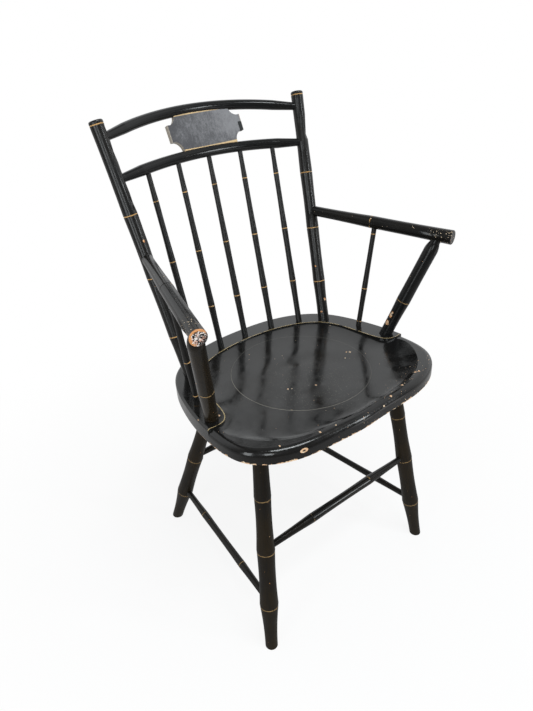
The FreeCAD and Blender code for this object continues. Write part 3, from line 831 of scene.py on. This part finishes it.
def scar(tree, place):
    """An oval dent on the front edge: a bare ring round a dark middle."""
    pressed = vectors(tree, "MULTIPLY", place, SCAR_PRESS)
    away = distance(tree, pressed, SCAR_CENTRE * SCAR_PRESS)
    return all_of(tree, ramp(tree, away, *SCAR_OUTSIDE), ramp(tree, away, *SCAR_INSIDE))


# %% [markdown]
# ## The seat
# The seat is one thick plank with the highest gloss of all, so it mirrors the spindles. A fine
# circle was scribed into the dish when it was carved, and it shows best at the front left. Pale
# dust has settled in front of the middle. Both are measured on the plan of the chair, with the
# height taken out of the place.

# %% Seat
ON_PLAN = (1, 1, 0)
CIRCLE_CENTRE = Vector((5.0, -48.5, 0.0)) * MM
CIRCLE_RADIUS = 122.0 * MM
CIRCLE_LINE = 0.6 * MM
CIRCLE_CORE = 0.4
CLEAR_SIDE = Vector((-0.85, -0.5, 0))
CLEAR_STEP = (20 * MM, 130 * MM)
FAINT = 0.22
SCRIBED = (0.17, 0.16, 0.13, 1)
DUST_CENTRE = Vector((-10, -95, 0)) * MM
DUST_STEP = (120 * MM, 40 * MM)
DUST_SPECKS = (750.0, 0.715)


def scribed_circle(tree, place, plan):
    """1 on the compass line, which is faint away from the front left."""
    off = sums(tree, "ABSOLUTE", sums(tree, "SUBTRACT", distance(tree, plan, CIRCLE_CENTRE), CIRCLE_RADIUS))
    line = ramp(tree, off, CIRCLE_LINE, CIRCLE_LINE * CIRCLE_CORE)
    return all_of(tree, line, ramp(tree, dot(tree, place, CLEAR_SIDE), *CLEAR_STEP, FAINT, 1.0))


def seat_dust(tree, place, plan):
    """1 on the dust in the dish."""
    in_middle = ramp(tree, distance(tree, plan, DUST_CENTRE), *DUST_STEP)
    return all_of(tree, in_middle, specks(tree, place, *DUST_SPECKS))


# %% Paint the seat
SEAT_BROWN = 0.25
SEAT_CHIP_AGE = 0.45
RUBBED_NOISE = (42.0, 6.0, 0.65)
RUBBED_STEP = (0.35, 0.65)
SEAT_POLISH = (0.10, 0.22)
SCRATCH_NOISE = (900.0, 3.0)
SCRATCH_RELIEF = 0.35
SEAT_IOR = 1.5


def paint_seat():
    """Paints the plank: paint, circle, dust and chips, under a high gloss with fine scratches."""
    material, tree, place = start_material("seat")
    plan = vectors(tree, "MULTIPLY", place, ON_PLAN)
    streaks = brushed(tree, place, ACROSS)
    scribe = scribed_circle(tree, place, plan)
    colour = mix(tree, scribe, black_paint(tree, place, streaks, SEAT_BROWN), SCRIBED)
    colour = mix(tree, seat_dust(tree, place, plan), colour, SCRIBED)
    chips = any_of(tree, seat_chips(tree, place), scar(tree, place))
    colour = mix(tree, chips, colour, mix(tree, SEAT_CHIP_AGE, worn_wood(tree, place), CREAM))
    rubbed = noise(tree, place, *RUBBED_NOISE)
    roughness = plus(tree, ramp(tree, rubbed, *RUBBED_STEP, *SEAT_POLISH), chips, CHIP_ROUGHNESS)
    scratch = sums(tree, "MULTIPLY", noise(tree, streaks, *SCRATCH_NOISE), SCRATCH_RELIEF)
    relief = sums(tree, "SUBTRACT", scratch, any_of(tree, chips, scribe))
    close_shader(tree, colour, roughness, relief, SEAT_IOR)
    dress("seat", material)


paint_seat()
print("painted the seat, with", len(SEAT_MARKS), "chips placed by hand")

# %% [markdown]
# ## Finding the edge of the deck
# A thin ochre line was drawn along the edge where the deck drops to the dish, round both ears and
# out to the sides. It is paint, but the edge is a free curve that no simple sum describes, so no
# mask can follow it. The frame's own edges can: the line runs along those that have the deck on one
# side and a small upright wall hanging below on the other. Stray edges elsewhere pass that test
# too, so only the longest run of joined edges is kept.

# %% Edge of the deck
WALL_TILT = 0.08
DECK_FACES_UP = 0.3
CLEARLY_BELOW = 0.1 * MM


def drop_edges(bm, up):
    """Edges between deck and wall, each with the directions back over the deck and out of it."""
    found = {}
    for edge in bm.edges:
        if len(edge.link_faces) != 2:
            continue
        wall, deck = sorted(edge.link_faces, key=lambda face: face.normal.dot(up))
        if abs(wall.normal.dot(up)) > WALL_TILT or deck.normal.dot(up) < DECK_FACES_UP:
            continue
        level = (edge.verts[0].co + edge.verts[1].co).dot(up) / 2
        if wall.calc_center_median().dot(up) < level - CLEARLY_BELOW:
            found[edge] = (-wall.normal, deck.normal.copy())
    return found


def run_length(edges):
    """Length of some edges in all."""
    return sum(edge.calc_length() for edge in edges)


def longest_run(edges):
    """Of the groups of edges that hang together, the longest one."""
    left = set(edges)
    runs = []
    for first in edges:
        if first not in left:
            continue
        left.remove(first)
        run = []
        fresh = [first]
        while fresh:
            edge = fresh.pop()
            run.append(edge)
            touching = {other for vert in edge.verts for other in vert.link_edges} & left
            left -= touching
            fresh.extend(touching)
        runs.append(run)
    return max(runs, key=run_length)


# %% [markdown]
# ## The line round the deck
# The line is made as a ribbon as thin as paint. On a copy of the seat, everything but the edge of
# the deck is deleted. What is left is lifted just clear of the wood and extruded back over the
# deck, and the strip is given its thickness. A copy also brings along the seat's own shading
# normals, which would be wrong on the ribbon, so they are taken off. The line's colour wavers
# between ochre and cream, and a noise wears it off down to the black.

# %% Ribbon
DECK_LINE_WIDTH = 1.45 * MM
DECK_LINE_LIFT = 0.05 * MM
DECK_LINE_THICKNESS = 0.08 * MM
SAME_POINT = 0.001 * MM


def deck_ribbon(bm):
    """Turns a copy of the seat into the ribbon, and gives back the length of its edge."""
    bmesh.ops.remove_doubles(bm, verts=bm.verts, dist=SAME_POINT)
    bm.normal_update()
    up = DECK_UP.normalized()
    found = drop_edges(bm, up)
    run = longest_run(found)
    length = run_length(run)
    back, out = {}, {}
    for edge in run:
        for vert in edge.verts:
            back[vert] = back.get(vert, Vector()) + found[edge][0]
            out[vert] = out.get(vert, Vector()) + found[edge][1]
    kept = set(run)
    bmesh.ops.delete(bm, geom=[edge for edge in bm.edges if edge not in kept], context="EDGES_FACES")
    bmesh.ops.delete(bm, geom=[vert for vert in bm.verts if vert not in back], context="VERTS")
    for vert in bm.verts:
        vert.co += out[vert].normalized() * DECK_LINE_LIFT
    made = bmesh.ops.extrude_edge_only(bm, edges=bm.edges[:])
    for vert in (item for item in made["geom"] if isinstance(item, bmesh.types.BMVert)):
        origin = next(edge.other_vert(vert) for edge in vert.link_edges if edge.other_vert(vert) in back)
        vert.co += back[origin].normalized() * DECK_LINE_WIDTH
    bmesh.ops.recalc_face_normals(bm, faces=bm.faces)
    if sum(face.normal.dot(up) for face in bm.faces) < 0:
        bmesh.ops.reverse_faces(bm, faces=bm.faces)
    bmesh.ops.solidify(bm, geom=bm.faces[:], thickness=-DECK_LINE_THICKNESS)
    return length


# %% Deck line
DECK_LINE = (0.34, 0.26, 0.12, 1)
DECK_WEAR_NOISE = (75.0, 4.0, 0.6)
DECK_WEAR_STEP = (0.34, 0.48)
DECK_TONE_WAVES = 160.0
DECK_OCHRE_SHARE = 0.75
DECK_LINE_ROUGHNESS = 0.35
DECK_RELIEF_WAVES = 600.0


def deck_line_finish():
    """Ochre to cream, worn through to black in places."""
    material, tree, place = start_material("deck_line")
    kept = ramp(tree, noise(tree, place, *DECK_WEAR_NOISE), *DECK_WEAR_STEP)
    tone = mix(tree, noise(tree, place, DECK_TONE_WAVES), DECK_LINE, CREAM)
    colour = mix(tree, kept, BLACK, mix(tree, DECK_OCHRE_SHARE, tone, DECK_LINE))
    close_shader(tree, colour, DECK_LINE_ROUGHNESS, noise(tree, place, DECK_RELIEF_WAVES))
    return material


def make_deck_line():
    """Makes the ribbon's object, and gives back its length and its number of faces."""
    bm = bmesh.new()
    bm.from_mesh(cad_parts["seat"].data)
    length = deck_ribbon(bm)
    mesh = bpy.data.meshes.new("deck_line")
    bm.to_mesh(mesh)
    bm.free()
    seat_normals = mesh.attributes.get("custom_normal")
    if seat_normals:
        mesh.attributes.remove(seat_normals)
    mesh.materials.append(deck_line_finish())
    line = bpy.data.objects.new("deck_line", mesh)
    bpy.context.scene.collection.objects.link(line)
    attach(line, "root")
    return round(length, 4), len(mesh.polygons)


print("deck line, length in metres and faces:", make_deck_line())

# %% [markdown]
# ## What the gloss sees
# Black paint shows little but what it mirrors, so the room matters as much as the lamps. The room
# is white behind the chair and darker in front of it, on the camera's side. Light Path tells camera
# rays and glossy rays apart, so the picture can have a plain white background while the paint
# mirrors a room with light and dark sides, and neither changes the even light on the chair.

# %% Room
BRIGHT_SIDE = Vector((0.55, 0.83, 0.0))
DARK_SIDE_SHARE = 0.15
WHITE = (1, 1, 1, 1)


def sees_background(tree):
    """Two masks: camera and transmission rays, and glossy rays."""
    path = add(tree, "ShaderNodeLightPath")
    direct = sums(tree, "MAXIMUM", path.outputs["Is Camera Ray"], path.outputs["Is Transmission Ray"])
    return direct, path.outputs["Is Glossy Ray"]


# %% [markdown]
# ## The floor
# A studio floor is one pale sheet that runs on out of the picture, so there is no horizon. Near the
# chair it keeps a soft shadow, and further out it turns to plain white. In the paint it is bright
# behind the chair and dim in front of it, but for one bright patch in front and to the right,
# which the turnings and the roll of the seat mirror.

# %% Floor
FLOOR_HALF = 30.0
FLOOR_COLOUR = (0.86, 0.86, 0.86, 1)
WHITE_FROM = 0.2
WHITE_FULL = 1.0
FLOOR_GLOW = 0.86
FLOOR_GLOSS = 0.55
FLOOR_SIDE_STEP = (-1.6, 0.4)
PATCH_ALONG = Vector((0.55, -0.83, 0.0))
PATCH_ACROSS = Vector((0.83, 0.55, 0.0))
PATCH_SIDE_STEP = (0.32, 0.12)
PATCH_START_STEP = (0.9, 1.4)
PATCH_LEVEL = 1.1


def floor_in_gloss(tree, place):
    """How bright the floor is where the paint mirrors it."""
    bright = ramp(tree, dot(tree, place, BRIGHT_SIDE), *FLOOR_SIDE_STEP, DARK_SIDE_SHARE, 1.0)
    beside = ramp(tree, sums(tree, "ABSOLUTE", dot(tree, place, PATCH_ACROSS)), *PATCH_SIDE_STEP)
    patch = all_of(tree, beside, ramp(tree, dot(tree, place, PATCH_ALONG), *PATCH_START_STEP))
    return plus(tree, sums(tree, "MULTIPLY", bright, FLOOR_GLOSS), patch, PATCH_LEVEL)


def floor_finish():
    """A pale floor that takes the shadow, mixed with the plain white that the camera sees."""
    material, tree, place = start_material("floor_white")
    plain = add(tree, "ShaderNodeBsdfDiffuse", {"Color": FLOOR_COLOUR})
    direct, glossy = sees_background(tree)
    strength = plus(tree, direct, glossy, floor_in_gloss(tree, place))
    glow = add(tree, "ShaderNodeEmission", {"Color": WHITE, "Strength": strength})
    far = ramp(tree, distance(tree, place, Vector()), WHITE_FROM, WHITE_FULL, FLOOR_GLOW, 1.0)
    share = sums(tree, "MULTIPLY", sums(tree, "MAXIMUM", direct, glossy), far)
    both = add(tree, "ShaderNodeMixShader", {0: share, 1: plain.outputs[0], 2: glow.outputs[0]})
    add(tree, "ShaderNodeOutputMaterial", {"Surface": both.outputs[0]})
    return material


def make_floor():
    """One large square sheet."""
    bm = bmesh.new()
    bmesh.ops.create_grid(bm, x_segments=1, y_segments=1, size=FLOOR_HALF)
    mesh = bpy.data.meshes.new("floor")
    bm.to_mesh(mesh)
    bm.free()
    mesh.materials.append(floor_finish())
    floor = bpy.data.objects.new("floor", mesh)
    bpy.context.scene.collection.objects.link(floor)


make_floor()
print("floor, width in metres:", 2 * FLOOR_HALF)

# %% [markdown]
# ## The world
# The world lights the chair evenly from all round, at half strength. The camera sees it plain
# white. The paint mirrors it as a cool white room with a dark side, and with a dim ceiling, so that
# the tops of the arms and of the seat stay black.

# %% World
WORLD_LIGHT = 0.5
ROOM_TINT = (0.97, 0.99, 1.0, 1)
ROOM_SIDE_STEP = (-0.45, 0.25)
CEILING_STEP = (0.74, 0.86)
CEILING_SHARE = 0.3


def make_world():
    """A world with one look for the camera, one for the gloss, and one that gives light."""
    world = bpy.data.worlds.new("studio")
    bpy.context.scene.world = world
    world.use_nodes = True
    tree = world.node_tree
    tree.nodes.clear()
    toward = add(tree, "ShaderNodeTexCoord").outputs["Generated"]
    side = ramp(tree, dot(tree, toward, BRIGHT_SIDE), *ROOM_SIDE_STEP, DARK_SIDE_SHARE, 1.0)
    ceiling = ramp(tree, dot(tree, toward, UP), *CEILING_STEP, 1.0, CEILING_SHARE)
    direct, glossy = sees_background(tree)
    diffuse = sums(tree, "SUBTRACT", 1.0, sums(tree, "MAXIMUM", direct, glossy))
    strength = plus(tree, direct, glossy, all_of(tree, side, ceiling))
    strength = plus(tree, strength, diffuse, WORLD_LIGHT)
    colour = mix(tree, glossy, WHITE, ROOM_TINT)
    back = add(tree, "ShaderNodeBackground", {"Color": colour, "Strength": strength})
    add(tree, "ShaderNodeOutputWorld", {"Surface": back.outputs[0]})


make_world()
print("world light:", WORLD_LIGHT)

# %% [markdown]
# ## The lamps
# Four soft boxes of cool daylight stand where the picture's highlights ask for them. The one above
# and in front lights the seat and gives the floor its soft shadow. The tall strip at the left
# draws the long highlights on the posts and spindles. Two small ones in front stand for windows,
# and each adds one narrow highlight to every turning.

# %% Lamps
DAYLIGHT = (0.93, 0.98, 1.0)
MIDDLE_OF_CHAIR = Vector((0, 0, 0.5))


def soft_lamp(name, place, width, height, power):
    """A soft box that looks at the middle of the chair."""
    data = bpy.data.lights.new(name, "AREA")
    data.shape = "RECTANGLE"
    data.size = width
    data.size_y = height
    data.energy = power
    data.color = DAYLIGHT
    lamp = bpy.data.objects.new(name, data)
    lamp.location = place
    lamp.rotation_euler = (MIDDLE_OF_CHAIR - Vector(place)).to_track_quat("-Z", "Y").to_euler()
    bpy.context.scene.collection.objects.link(lamp)
    return power


watts = [soft_lamp("overhead", place=(0.0, -1.1, 2.5), width=1.5, height=0.45, power=30),
         soft_lamp("left_strip", place=(-2.3, -0.7, 0.75), width=0.7, height=1.7, power=17),
         soft_lamp("window", place=(-1.35, -1.7, 1.1), width=0.45, height=0.9, power=7.5),
         soft_lamp("far_window", place=(1.25, -1.9, 1.15), width=0.3, height=0.8, power=9)]
print("lamps in watts:", watts)

bpy.context.scene.view_settings.view_transform = "Standard"
